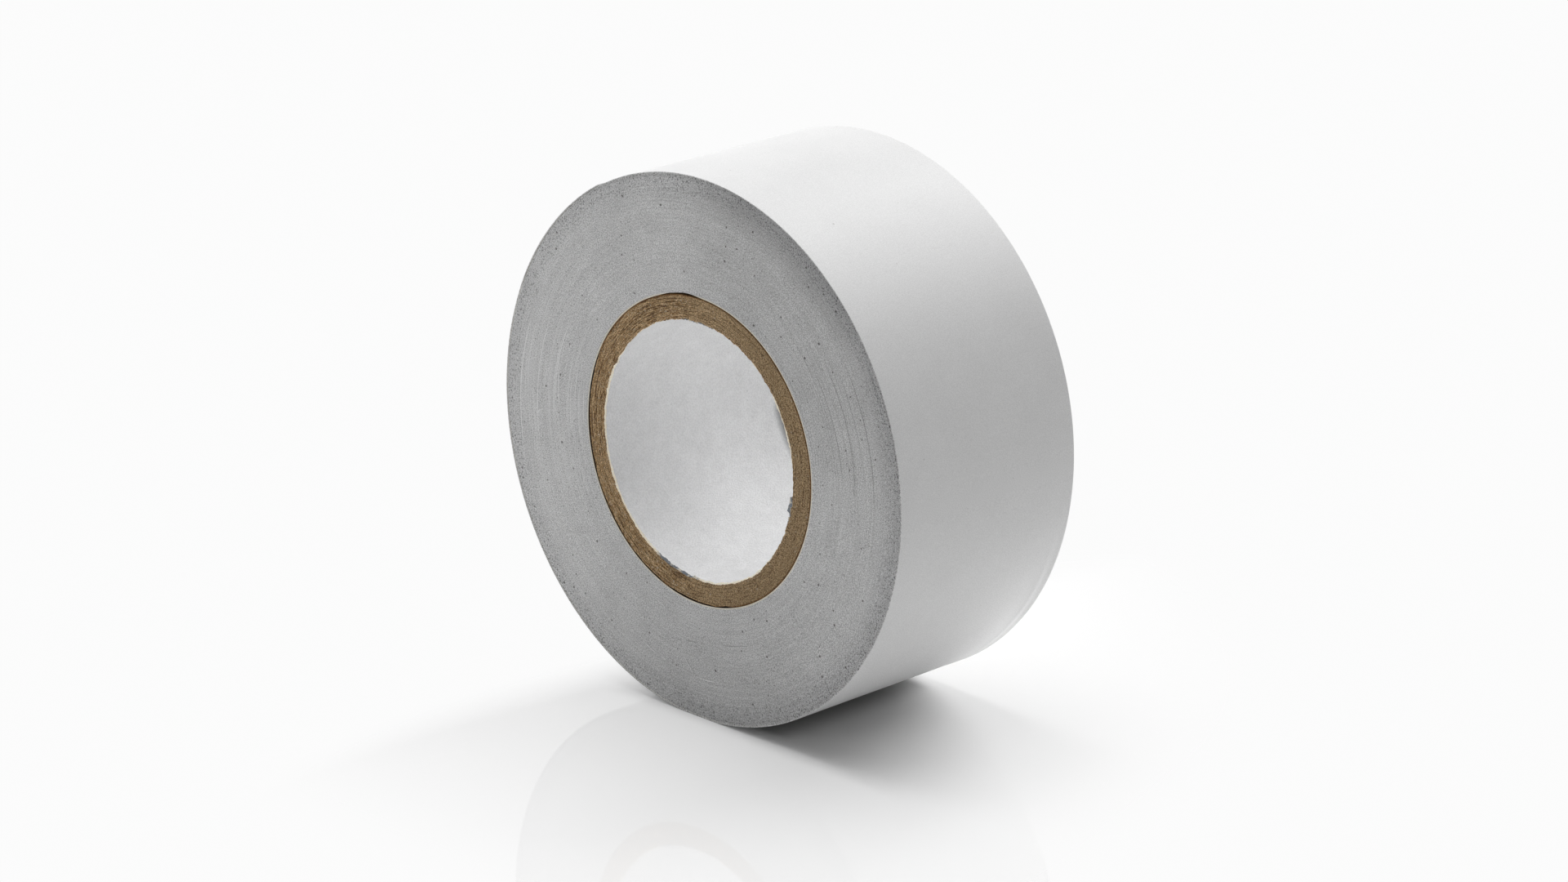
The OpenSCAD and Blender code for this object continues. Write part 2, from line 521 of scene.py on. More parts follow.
# Cracks in the end of the card core, given in the same way
CARD_CRACKS = [
    (21.9, 118.0, 9.0, 0.07, -0.006), (21.5, 121.0, 13.0, 0.08, 0.004), (21.1, 128.0, 12.0, 0.07, 0.005),
    (20.5, 112.0, 10.0, 0.08, 0.012), (20.35, 128.0, 6.0, 0.07, -0.01), (20.9, 150.0, 9.0, 0.07, -0.004),
    (21.7, 160.0, 14.0, 0.08, 0.003), (21.3, 178.0, 12.0, 0.08, 0.0), (22.2, 185.0, 12.0, 0.09, -0.003),
    (20.6, 188.0, 8.0, 0.08, 0.006), (21.0, 205.0, 12.0, 0.07, 0.0), (22.0, 216.0, 12.0, 0.09, 0.003),
    (21.5, 232.0, 9.0, 0.07, 0.0), (20.2, 230.0, 6.0, 0.06, 0.01), (22.3, 248.0, 10.0, 0.09, -0.002),
    (21.2, 255.0, 7.0, 0.06, 0.005), (20.67, 96.6, 1.2, 0.16, 0.05), (19.8, 39.0, 2.4, 0.12, 0.02),
    (20.05, 32.0, 1.6, 0.12, -0.03), (21.4, 355.0, 5.0, 0.06, 0.0), (20.4, 345.0, 4.0, 0.06, 0.01)]


def tape_edges_finish():
    """The roll's sides: the cut edges of the wound tape, matt and finely rough, with dust in the adhesive,
    and with painted light on the left and painted shade on the right.
    """
    material, shader, place = new_finish("tape_edges")
    radius, on_face = place["Radius"], place["On Face"]
    grain = new_grain(place, 0.16, 0.35, 0.65)
    cloudy = new_grain(place, 5.0, 0.25, 0.75)
    rings = new_lines(place["Wound"], 14.0, 0.24, 0.34, 0.66)
    short = new_lines(place["Wound"], 1.6, 0.14, 0.62, 0.8)
    arcs = new_lines(place["Wound"], 45.0, 0.2, 0.56, 0.68)
    dust = new_specks(on_face, 0.55, 0.1, 0.5)
    rim_dust = new_specks(on_face, 0.42, 0.12, 0.6)
    grit = new_specks(on_face, 2.7, 0.16, 0.4)
    crumbs = new_specks(on_face, 1.7, 0.11, 0.3)
    in_pack = ramp(radius, PACK_R / MM - 0.02, PACK_R / MM + 0.05, 1.0, 0.0)
    grey = spread(grain, 0.473, 0.842) * spread(cloudy, 0.965, 1.045) * spread(rings, 0.95, 1.05)
    colour = darker(joined(grey, grey, grey), short * 0.5, (0.72, 0.72, 0.73))
    patchy = ramp(cloudy, 0.55, 0.25, 0.4, 0.8) + ramp(radius, 36.5, 40.0, 0.0, 0.5)
    colour = darker(colour, dust * patchy, (0.52, 0.51, 0.51))
    colour = darker(colour, grit, (0.28, 0.27, 0.26))
    colour = mixed(crumbs * 0.55, colour, (0.8, 0.8, 0.79))
    # Darker towards the outer rim: wear, with painted shade that is strongest on the right, away from the
    # light.
    low = near_angle(place, 10.0, 130.0)
    rim_wear_and_shade = ramp(radius, 35.0, 41.0) * (low * 0.65 + 0.35) * spread(grain, 1.0, 0.7)
    colour = darker(colour, rim_wear_and_shade * in_pack, (0.69, 0.69, 0.7))
    # Darker towards the upper right, and more so at its rim.
    upper_right_darker = near_angle(place, 48.0, 56.0)
    colour = darker(colour, upper_right_darker, (0.86, 0.86, 0.86))
    upper_rim_darker = near_angle(place, 64.0, 34.0) * ramp(radius, 34.0, 38.0)
    colour = darker(colour, upper_rim_darker * in_pack, (0.84, 0.84, 0.84))
    # Painted light: the sides are lighter towards the left, where the light comes from.
    painted_left_light = spread(near_angle(place, 180.0, 70.0) * ramp(radius, 24.0, 30.0, 0.3, 1.0), 1.0, 1.09)
    colour = multiplied(colour, painted_left_light)
    at_rim = ramp(radius, 36.3, 39.8) * in_pack
    colour = darker(colour, rim_dust * at_rim, (0.44, 0.44, 0.44))
    colour = darker(colour, face_marks(place, DARK_MARKS), (0.66, 0.66, 0.66))
    # Painted shade along the knife's step on the right
    colour = darker(colour, face_marks(place, KNIFE_STEP_SHADE) * 0.85, (0.6, 0.6, 0.6))
    # Lines along the turns: painted shade on the right and painted highlights on the left, where the turns'
    # steps face away from or towards the light.
    right_arc_shade = arcs * ramp(near_angle(place, 18.0, 40.0), 0.0, 0.7, 0.0, 0.6)
    left_arc_highlights = arcs * ramp(near_angle(place, 178.0, 42.0), 0.0, 0.7, 0.0, 0.5)
    colour = darker(colour, right_arc_shade, (0.76, 0.76, 0.76))
    colour = mixed(left_arc_highlights, colour, (0.86, 0.86, 0.86))
    # Pale scratches, and painted highlights on the knife's step
    colour = mixed(face_marks(place, PALE_MARKS_AND_STEP_HIGHLIGHTS) * spread(grain, 0.8, 1.0), colour, (0.95, 0.95, 0.95))
    start = ramp(radius, CORE_R / MM + 0.12, CORE_R / MM + 0.26, 1.0, 0.0)
    colour = mixed(start * 0.75, colour, (0.93, 0.86, 0.7))
    set_surface(shader, colour, spread(grain, 0.62, 0.85), grain + rings * 0.5 - dust * 0.6, 0.042)
    return material


def white_film_finish():
    """The tape's outer surface: smooth white PVC with a soft shine and a faint orange-peel."""
    material, shader, place = new_finish("white_film")
    peel = new_grain(place, 0.45, 0.2, 0.8)
    fine = new_grain(place, 0.14, 0.3, 0.7)
    cloudy = new_grain(place, 9.0, 0.25, 0.75)
    drawn = new_lines(place["Around"], 60.0, 2.2, 0.25, 0.75)
    marks = new_specks(place["Around"], 9.0, 0.12, 0.4)
    white = spread(cloudy, 0.776, 0.796) * spread(fine, 0.93, 1.07)
    colour = darker(joined(white, white, white), marks, (0.72, 0.71, 0.7))
    roughness = spread(cloudy, 0.4, 0.47) + drawn * 0.03
    set_surface(shader, colour, roughness, peel * 0.7 + fine * 0.3, 0.006, 0.32)
    return material


def adhesive_finish():
    """The tape's underside: a thin, clear, tacky coat on the white film, with streaks from being peeled."""
    material, shader, place = new_finish("adhesive")
    cloudy = new_grain(place, 3.0, 0.25, 0.75)
    fine = new_grain(place, 0.25, 0.3, 0.7)
    streaks = new_lines(place["Around"], 3.0, 0.35, 0.3, 0.7)
    bubbles = new_specks(place["Around"], 1.3, 0.16, 0.3)
    colour = mixed(cloudy, (0.7, 0.68, 0.61), (0.76, 0.75, 0.7))
    colour = mixed(bubbles * 0.5, colour, (0.84, 0.83, 0.79))
    set_surface(shader, colour, spread(streaks, 0.16, 0.34), streaks + (fine * 0.4 + bubbles), 0.012)
    return material


def brown_card_finish():
    """Grey-brown pulp card. Its ends show the edges of its layers, with fibres, cracks and pale flecks,
    painted lighter on the left and darker on the right, with painted shade at the outer rim.
    """
    material, shader, place = new_finish("brown_card")
    grain = new_grain(place, 0.19, 0.34, 0.66)
    cloudy = new_grain(place, 2.5, 0.25, 0.75)
    fibres = new_lines(place["Wound"], 1.6, 0.12, 0.38, 0.62)
    pale = new_lines(place["Wound"], 0.9, 0.12, 0.58, 0.7)
    cracks = new_lines(place["Wound"], 4.0, 0.15, 0.58, 0.66)
    flecks = new_specks(place["On Face"], 1.1, 0.13, 0.35)
    pits = new_specks(place["On Face"], 1.6, 0.18, 0.3)
    left = ramp(near_angle(place, 180.0, 105.0), 0.0, 0.4)
    lined = spread(left, 0.35, 0.95)
    colour = mixed(grain, (0.2, 0.128, 0.062), (0.75, 0.545, 0.32))
    colour = darker(colour, fibres * lined, (0.56, 0.47, 0.36))
    colour = mixed(pale * (lined * 0.55), colour, (0.8, 0.68, 0.5))
    colour = darker(colour, cloudy * 0.3, (0.78, 0.75, 0.7))
    broken = ramp(new_grain(place, 0.7, 0.3, 0.7), 0.1, 0.5)
    cracks = maths("MAXIMUM", cracks * spread(left, 0.2, 1.0), face_marks(place, CARD_CRACKS) * broken)
    colour = mixed(cracks * 0.8, colour, (0.075, 0.034, 0.013))
    colour = mixed(pits * 0.6, colour, (0.09, 0.055, 0.03))
    colour = mixed(flecks * 0.55, colour, (0.66, 0.57, 0.44))
    # Painted light and shade: lighter towards the left, where the light comes from, and darker on the right.
    colour = multiplied(colour, spread(near_angle(place, 178.0, 180.0), 0.86, 1.25))
    # Painted shade at the card's outer rim, where it meets the tape.
    rim = ramp(place["Radius"], CORE_R / MM - 0.4, CORE_R / MM - 0.08)
    colour = darker(colour, rim, (0.42, 0.3, 0.17))
    set_surface(shader, colour, spread(grain, 0.78, 0.95), grain + fibres * 0.6 - cracks, 0.06, 0.25)
    return material


def first_turn_shade_finish():
    """The inside of the tape's first turn, painted dark for the shade deep in the gap round the core, and a
    lighter blue-grey in the hollow round the tape's first edge.
    """
    material, shader, place = new_finish("first_turn_shade")
    grain = new_grain(place, 0.3, 0.3, 0.7)
    colour = mixed(grain, (0.012, 0.015, 0.022), (0.035, 0.042, 0.055))
    brown = ramp(near_angle(place, 232.0, 62.0), 0.0, 0.2)
    colour = mixed(brown, colour, (0.03, 0.014, 0.007))
    bridged = ramp(near_angle(place, START_ANGLE + 2.0, 17.0), 0.0, 0.5)
    colour = mixed(bridged, colour, (0.34, 0.39, 0.46))
    set_surface(shader, colour, spread(grain, 0.45, 0.7), grain, 0.03)
    return material


def liner_paper_finish():
    """White paper that lines the hole, a little cloudy, with a fine tooth and a few faint specks, and painted
    shade on its bent rear edge.
    """
    material, shader, place = new_finish("liner_paper")
    tooth = new_grain(place, 0.22, 0.3, 0.7)
    cloudy = new_grain(place, 2.6, 0.3, 0.7)
    broad = new_grain(place, 8.0, 0.3, 0.7)
    specks = new_specks(place["Around"], 1.4, 0.12, 0.35)
    fibres = new_specks(place["Around"], 2.3, 0.2, 0.3)
    white = spread(cloudy, 0.872, 0.907) * spread(broad, 0.985, 1.012) * spread(tooth, 0.92, 1.05)
    colour = joined(white, white, white * 1.004)
    colour = darker(colour, specks * 0.6, (0.82, 0.82, 0.82))
    colour = darker(colour, fibres * 0.4, (0.86, 0.86, 0.87))
    # Painted shade on the far wall, next to the bent rear edge
    rear_edge_shade = ramp(near_angle(place, 208.0, 17.0), 0.0, 0.7) * ramp(place["Depth"], 32.9, 34.7)
    colour = darker(colour, rear_edge_shade, (0.33, 0.33, 0.33))
    set_surface(shader, colour, spread(tooth, 0.6, 0.75), tooth + cloudy * 1.2, 0.038, 0.3)
    return material


def liner_cut_finish():
    """The liner's sawn edge: cream, fluffy paper, with painted grey-blue shade where torn flaps stand in
    shadow, and a faint painted glow.
    """
    material, shader, place = new_finish("liner_cut")
    grain = new_grain(place, 0.16, 0.3, 0.7)
    cloudy = new_grain(place, 0.9, 0.35, 0.65)
    colour = mixed(grain, (0.84, 0.74, 0.57), (0.97, 0.92, 0.8))
    # Painted shade, grey-blue, where torn flaps of the liner stand in shadow
    torn = maths("MAXIMUM", near_angle(place, 257.0, 15.0), near_angle(place, 90.0, 11.0))
    torn = maths("MAXIMUM", torn, near_angle(place, 346.0, 9.0))
    torn = ramp(torn, 0.0, 0.3) * ramp(cloudy, 0.0, 0.6, 0.4, 1.0)
    colour = mixed(torn, colour, (0.19, 0.205, 0.225))
    set_surface(shader, colour, spread(grain, 0.75, 0.92), grain, 0.05, 0.25)
    # A faint painted glow, for the light that comes through the thin paper
    wire(colour, shader["Emission Color"])
    shader["Emission Strength"].default_value = PAPER_GLOW
    return material


tape_edges = tape_edges_finish()
white_film = white_film_finish()
adhesive = adhesive_finish()
brown_card = brown_card_finish()
first_turn_shade = first_turn_shade_finish()
liner_paper = liner_paper_finish()
liner_cut = liner_cut_finish()


# The core

def seam_angle(y, layer):
    """Where a layer's butt seam lies at a place across the core. The liner is layer 0."""
    return SEAM_MIDDLE + SEAM_STEP * layer + TURN * (y - (FRONT + BACK) / 2) / SEAM_LEAD


def across(steps, ends):
    """Places across the core's length, closer together in the listed lengths at both ends."""
    near = np.array(ends)
    middle = np.linspace(near[-1], WIDTH - near[-1], steps)
    return FRONT + np.concatenate([near[:-1], middle, WIDTH - near[-2::-1]])


def core_layer(name, layer, steps, finishes, face_shape, skin_shape, slices=25):
    """One layer of the core: a strip wound on a helix until its edges meet at the seam. face_shape gives how
    far a face lies in from the end of the core, and skin_shape how far a skin is moved outwards. share is 0
    inside and 1 outside, and end is 0 at the front and 1 at the back."""
    inner, outer = LAYER_R[layer], LAYER_R[layer + 1]
    skin_y = across(slices, [0.0, 0.12 * MM, 0.35 * MM, 0.7 * MM, 1.2 * MM])
    face_reach = 0.9 * MM
    shares = np.array([0.14, 0.32, 0.5, 0.68, 0.86])
    loop_y = np.concatenate([skin_y, np.full(len(shares), BACK), skin_y[::-1], np.full(len(shares), FRONT)])
    loop_share = np.concatenate([np.zeros(len(skin_y)), shares, np.ones(len(skin_y)), shares[::-1]])
    half_gap = np.degrees(SEAM_GAP / 2 / inner)
    along = np.linspace(0.0, 1.0, steps)[:, None]
    angle = seam_angle(loop_y, layer)[None, :] + half_gap + along * (TURN - 2 * half_gap)
    share = np.broadcast_to(loop_share, angle.shape)
    y = np.broadcast_to(loop_y, angle.shape)
    radius = inner + share * (outer - inner) + skin_shape(angle, y, share)
    near_front = eased(1 - (y - FRONT) / face_reach)
    near_back = eased(1 - (BACK - y) / face_reach)
    y = y + near_front * face_shape(angle, share, 0) - near_back * face_shape(angle, share, 1)
    loops = polar(radius, angle, y)
    on_face = (loop_y == FRONT) | (loop_y == BACK)
    numbers = (on_face & np.roll(on_face, -1) & (loop_y == np.roll(loop_y, -1))).astype(int)
    return layer_piece(name, loops, len(skin_y), len(shares), finishes, numbers)


def layer_piece(name, loops, skin_count, share_count, finishes, finish_by_column):
    """Closes the helical strip. Its two skins have a point for each place across. Its faces join them."""
    rows, columns = loops.shape[:2]
    inner = np.arange(skin_count)
    outer = 2 * skin_count + share_count - 1 - inner
    cap = np.stack([inner[:-1], inner[1:], outer[1:], outer[:-1]], -1)
    front_fan = [0, *range(columns - 1, outer[0], -1), outer[0]]
    back_fan = [skin_count - 1, *range(skin_count, skin_count + share_count), outer[-1]]
    faces = [tuple(face) for face in loop_faces(rows, columns)]
    numbers = list(np.tile(finish_by_column, rows - 1))
    for start in (0, (rows - 1) * columns):
        for face in [*cap, front_fan, back_fan]:
            faces.append(tuple(int(corner) + start for corner in face))
            numbers.append(1)
    return new_piece(name, loops, faces, finishes, numbers)


def no_move(angle, y, share):
    return np.zeros(np.shape(angle))


def card_face(layer):
    """Shape of a card layer's sawn face: a little higher or lower than its neighbours, with splits along its
    borders and its middle. The splits are deepest on the left. There is one pit in the innermost layer."""
    def shape(angle, share, end):
        seed = 100 * end + 10 * layer
        level = 0.03 * MM * (1 + ring_wave(angle, seed, 9))
        strength = 0.4 + 0.6 * stretch(angle, 100, 262, 35)
        border_width, middle_width = 0.14, 0.18
        at_border = np.clip(1 - np.minimum(share, 1 - share) / border_width, 0, 1)
        border_line = np.clip(0.25 + 1.1 * ring_wave(angle, seed + 1, 50, 0.25), 0, 1.2)
        at_middle = np.clip(1 - np.abs(share - 0.5) / middle_width, 0, 1)
        middle_line = np.clip(1.2 * ring_wave(angle, seed + 3, 70, 0.2), 0, 1.2)
        rough = 0.015 * MM * (1 + ring_wave(angle + 400 * share, seed + 2, 200, 0.05))
        splits = strength * MM * (0.2 * at_border * border_line + 0.12 * at_middle * middle_line)
        pit = 0.4 * MM * (layer == 1) * (end == 0) * bell(apart(angle, 150.6), 1.6) * (1 - share) ** 0.5
        return level + splits + rough + pit
    return shape


def end_share(y, reach):
    """1 at either end of the core, easing to 0 at the reach from it."""
    return eased(1 - np.minimum(y - FRONT, BACK - y) / reach)


def liner_border(angle):
    """How far the border between the card and the liner's cut edge is moved outwards. It is ragged, and
    covers the cut edge everywhere but on the lower left and in one place on the right."""
    shown = np.maximum(stretch(angle, 155, 310, 5), stretch(angle, *CUT_RIGHT, 4))
    ragged = 0.07 * ring_wave(angle, 31, 240, 0.1) + 0.09 * ring_wave(angle, 32, 80, 0.1)
    return (ragged - 0.22 + 0.17 * shown) * MM


def rim_burr(angle, y, share):
    """The innermost card layer ends at that border, at both ends of the hole."""
    return end_share(y, RIM_REACH) * (1 - share) * liner_border(angle)


def core_gap(angle, y, share):
    """The outermost layer draws back from the tape at both ends, most on the left and along the bottom."""
    broken = np.clip(0.65 + 0.6 * ring_wave(angle, 71, 60, 0.25), 0.15, 1.2)
    width = 0.02 + 0.24 * stretch(angle, 160, 198, 9) + 0.2 * stretch(angle, 206, 284, 6) * broken
    width = width + 0.09 * stretch(angle, 56, 92, 9)
    return -end_share(y, 2.5 * MM) * share * width * MM


def liner_face(angle, share, end):
    """The liner is cut unevenly: flush with the card on the left and in one place on the right, or short."""
    flush = np.maximum(stretch(angle, 150, 310, 12), stretch(angle, *CUT_RIGHT, 4))
    slanted = 0.2 * (1 - share) * stretch(angle, 150, 310, 12)
    return MM * (0.17 - 0.14 * flush + slanted + 0.03 * ring_wave(angle, 51 + end, 200, 0.2))


def liner_skin(angle, y, share):
    """The liner is not quite round, its cut edge is torn in places, and its rear edge is bent on one side."""
    bend_reach = 1.5 * MM
    near_front = eased(1 - (y - FRONT) / RIM_REACH)
    uneven = 0.02 * ring_wave(angle + 40 * (y - FRONT) / WIDTH, 61, 12)
    ragged = 0.06 * ring_wave(angle, 62, 260, 0.15) + 0.09 * ring_wave(angle, 63, 60, 0.1)
    jagged = np.clip(0.45 + 0.9 * ring_wave(angle, 64, 360, 0.05), 0, 1.5)
    torn = jagged * (0.1 * stretch(angle, 240, 268, 4) + 0.12 * stretch(angle, 82, 97, 3))
    torn = torn + 0.26 * bell(apart(angle, 267.5), 0.9) + 0.2 * stretch(angle, 338.5, 346, 1.5) * jagged
    torn = torn + 0.55 * stretch(angle, 346.3, 352.8, 1.0) * (0.8 + 0.2 * jagged)
    at_end = end_share(y, RIM_REACH)
    border = liner_border(angle) / MM
    rim = np.minimum(ragged, border + 0.19) - torn * near_front
    inner = (1 - share) * (uneven + at_end * rim) + share * at_end * border
    bent = 0.28 * stretch(angle, 197, 217, 8) * np.clip((y - BACK + bend_reach) / bend_reach, 0, 1) ** 2
    return MM * (inner - bent)


def build_core():
    finishes = [liner_paper, liner_cut]
    liner = core_layer("liner_paper", 0, RIM_STEPS, finishes, liner_face, liner_skin, slices=31)
    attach(liner, "roll")
    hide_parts("core_liner")
    skins = [rim_burr, no_move, no_move, no_move, no_move, core_gap]
    for number, (node, skin) in enumerate(zip(PLIES, skins), start=1):
        steps = RIM_STEPS if number == 1 else LAYER_STEPS
        finishes = [brown_card, brown_card]
        ply = core_layer(f"card_ply_{number}", number, steps, finishes, card_face(number), skin)
        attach(ply, "roll")
        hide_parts(node)


# The tape

def hollow(angle):
    """Height of the hollow round the tape's first edge, where the next turn bridges over it."""
    height = 0.28 * MM
    before = apart(angle, START_ANGLE)
    reach = np.where(before > 0, 15.0, 11.0)
    return height * np.clip(1 - (before / reach) ** 2, 0, 1) ** 2


def knife_step(radius, angle, end):
    """The knife that cut the roll left a spiral step on each face. The face is proud just inside the step and
    recessed just outside it, by a share from 0 to 1, and climbs back before the next step comes."""
    left = stretch(angle, 152, 196, 10)
    right = stretch(angle, 0, 40, 16)
    leaned = np.clip(apart(angle, 160), -10, 36) * stretch(angle, 145, 196, 60)
    outwards = (radius / MM - KNIFE_R) / KNIFE_PITCH
    place = outwards - apart(angle, KNIFE_ANGLE - HALF_TURN * end) / TURN
    place = place - leaned * (0.0005 + 0.0022 * np.clip(outwards, 0, 2.2)) + 0.09 * right
    past = place - np.floor(place)
    rise, faint = 0.05, 0.25
    step = np.clip(past / rise, 0, 1) * (1 - past)
    return step * np.maximum(faint, np.maximum(left, right))


def face_relief(turn, angle, end, radius):
    """How far the tape's edge lies in from the plane of the roll's face, along the wound strip."""
    seed = 200 + 40 * end
    single = strip_wave(turn, seed, 0.21)
    longer = strip_wave(turn, seed + 1, 1.7)
    broad = ring_wave(angle + 60 * turn / PACK_TURNS, seed + 2, 4)
    relief = 0.03 + 0.009 * single + 0.009 * longer + 0.008 * broad
    rounded_turns = 3
    rounded = 0.05 * eased((turn - PACK_TURNS + rounded_turns) / rounded_turns)
    return np.clip(relief + rounded + KNIFE_DEPTH * knife_step(radius, angle, end), 0.0, 0.2) * MM


def wound_spiral():
    """The borders between the turns of the pack, as points along one spiral: the turns from the tape's first
    edge to each point, its angle and its radius. Also the count of points in a turn, and the number of the
    point under the free edge, where the pack's last turn ends."""
    edge_step = np.mod(START_ANGLE - EDGE_ANGLE, TURN)
    even = np.arange(0, TURN, TURN / TURN_STEPS)
    at_hollow = np.arange(1.0, 15.0, 2.0)
    passed = np.unique(np.concatenate([even, at_hollow, TURN - at_hollow, [edge_step]]))
    count = len(passed)
    last = (PACK_TURNS - 1) * count + int(np.searchsorted(passed, edge_step))
    number = np.arange(last + count + 1)
    turn = number // count + passed[number % count] / TURN
    angle = START_ANGLE - TURN * turn
    behind = np.mod(angle - EDGE_ANGLE, TURN)
    behind[last] = 0.0
    # Near the core the turns step out at the first edge. Further out they rise as the outer turn does.
    slack, least_angle = 1e-9, 1e-6
    stepped_turns = np.floor(turn + slack)
    edge_turns = np.floor((START_ANGLE - angle - edge_step) / TURN + slack) + 1
    smooth_turns = edge_turns + tape_rise(behind) - (np.abs(behind) < least_angle)
    outward = eased((turn - 1) / (PACK_TURNS - 2))
    height = TAPE_T * (stepped_turns + (smooth_turns - stepped_turns) * outward)
    bridging_turns = 6
    bridge = hollow(angle) * np.clip(1 - np.maximum(turn - 0.9, 0) / bridging_turns, 0, 1)
    round_r = PACK_R + TAPE_T * tape_rise(behind)
    flattened = pressed(round_r, angle, PACK_STAND) - CORE_R
    radius = CORE_R + np.maximum(height, bridge) * flattened / (round_r - CORE_R)
    return turn, angle, radius, count, last


def build_winding():
    """Every turn but the outer one. Each turn of the strip has a crest between two shallow grooves."""
    groove = 0.012 * MM
    turn, angle, border_r, count, last = wound_spiral()
    borders = len(border_r)
    crests = last + 1
    crest_r = (border_r[:crests] + border_r[count:count + crests]) / 2
    sides = []
    for end, y, inwards in ((0, FRONT, 1), (1, BACK, -1)):
        relief = face_relief(turn, angle, end, border_r)
        border = polar(border_r, angle, y + inwards * (relief + groove))
        crest_relief = face_relief(turn[:crests] + 0.5, angle[:crests], end, crest_r)
        crest = polar(crest_r, angle[:crests], y + inwards * crest_relief)
        sides += [border, crest]
    points = np.concatenate(sides)
    face_points = borders + crests
    step = np.arange(last)
    lower = np.stack([step, step + 1, borders + step + 1, borders + step], -1)
    upper = np.stack([borders + step, borders + step + 1, count + step + 1, count + step], -1)
    face = np.concatenate([lower, upper])
    inner_loop = np.concatenate([np.arange(count + 1), [borders]])
    outer_loop = np.concatenate([last + np.arange(count + 1), [borders + last]])
    walls = []
    for loop in (inner_loop, outer_loop):
        following = np.roll(loop, -1)
        walls.append(np.stack([loop, following, following + face_points, loop + face_points], -1))
    faces = np.concatenate([face, face + face_points, *walls])
    numbers = np.repeat([0, 2, 1], [2 * len(face), len(walls[0]), len(walls[1])])
    # The inner wall takes the finish that is painted dark for the shade in the gap round the core.
    winding = new_piece("tape_pack", points, faces, [tape_edges, white_film, first_turn_shade], numbers, sharp=50.0)
    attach(winding, "roll")
    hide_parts("tape_winding")


def film_swell(angle, y):
    """Small unevenness of the roll's outer surface: dents, a ridge and a curled rear edge."""
    from_back = BACK - y
    waves = 0.012 * MM * ring_wave(angle + 25 * (y - FRONT) / WIDTH, 301, 7)
    dents = 0.0
    for dent_angle, dent_y, depth in ((64.1, -2.2 * MM, 0.05 * MM), (60.4, 4.4 * MM, 0.045 * MM)):
        dents = dents + depth * bell(apart(angle, dent_angle), 2.4) * bell(y - dent_y, 2.8 * MM)
    ridge = 0.015 * MM * bell(y - 2.5 * MM, 1.2 * MM)
    curled = stretch(angle, -56.0, -24.0, 16.0) * (1 + 0.25 * ring_wave(angle, 302, 40, 0.3))
    curl = 0.1 * bell(from_back - 0.3 * MM, 0.5 * MM) - 0.04 * bell(from_back - 1.2 * MM, 0.5 * MM)
    curl = curl + 0.07 * bell(from_back - 2.2 * MM, 0.8 * MM) - 0.04 * bell(from_back - 4.0 * MM, 1.6 * MM)
    return waves - dents + ridge + curled * curl * MM


# Places across the film, closest together near its curled rear edge
FILM_Y = FRONT + WIDTH * np.array([0, 0.002, 0.006, *np.linspace(0.02, 0.86, 22),
                                   *np.linspace(0.88, 0.994, 26), 0.998, 1])


def strip_piece(name, top, bottom, finishes):
    """A closed strip between two surfaces of points, with finishes for its top, its edges and its bottom."""
    loops = np.concatenate([top, bottom[:, ::-1]], 1)
    rows, columns = loops.shape[:2]
    half = columns // 2
    over = np.arange(half - 1)
    cap = np.stack([over, over + 1, columns - 2 - over, columns - 1 - over], -1)
    faces = np.concatenate([loop_faces(rows, columns), cap, cap[:, ::-1] + (rows - 1) * columns])
    round_loop = np.repeat([0, 1, 2, 1], [half - 1, 1, half - 1, 1])
    numbers = np.concatenate([np.tile(round_loop, rows - 1), np.ones(2 * len(cap), int)])
    return new_piece(name, loops, faces, finishes, numbers)


def film_strip(name, behind, outer_r):
    """A length of tape whose outer surface has the given radii at the given places behind the free edge."""
    angle = (EDGE_ANGLE + behind)[:, None]
    outer = pressed(outer_r[:, None], angle, STAND)
    edge_roll = 0.015 * MM * (bell(FILM_Y - FRONT, 0.1 * MM) + bell(BACK - FILM_Y, 0.1 * MM))
    top = np.minimum(outer + film_swell(angle, FILM_Y) - edge_roll, flat_radius(angle, STAND))
    surfaces = [polar(radius, angle, FILM_Y) for radius in (top, outer - TAPE_T)]
    return strip_piece(name, *surfaces, [white_film, tape_edges, adhesive])


def build_tape_turns():
    """The outer turn, and the last length of tape in three pieces, one for each hinge."""
    hinges = [HINGES[name] for name in ("end_peel", "end_bend_1", "end_bend_2")]
    hinge_behind = [math.degrees(math.atan2(z, x)) - EDGE_ANGLE for x, _, z in hinges]
    length = (hinge_behind[0] - hinge_behind[1]) / 2
    # The first length starts a few degrees before its hinge
    unmoved, root_bend = 4.0, 1.2
    starts = [hinge_behind[0] + unmoved, hinge_behind[1] + length, hinge_behind[2] + length]
    ends = [starts[1], starts[2], 0.0]

    behind = np.linspace(TURN, starts[0], int((TURN - starts[0]) / WRAP_STEP) + 1)
    wrap = film_strip("tape_outer_wrap", behind, TURN_R + TAPE_T * tape_rise(behind))
    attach(wrap, "roll")
    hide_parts("tape_outer_turn")

    nodes = ["tape_tail_root", "tape_tail_middle", "tape_tail_tip"]
    for k, node in enumerate(nodes):
        behind = np.linspace(starts[k], ends[k], int((starts[k] - ends[k]) / TAIL_STEP) + 1)
        rise = TAIL_RISE * eased((starts[0] - behind) / (starts[0] - hinge_behind[0]))
        radius = TURN_R + TAPE_T * tape_rise(behind) + rise
        piece = film_strip(node.replace("tape_tail", "peeled_tape"), behind, radius)
        before = root_bend if k == 0 else length
        bend = [polar(TURN_R, EDGE_ANGLE + hinge_behind[k] + side, 0.0) for side in (before, -length)]
        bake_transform(piece)
        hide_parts(node)


# The stage

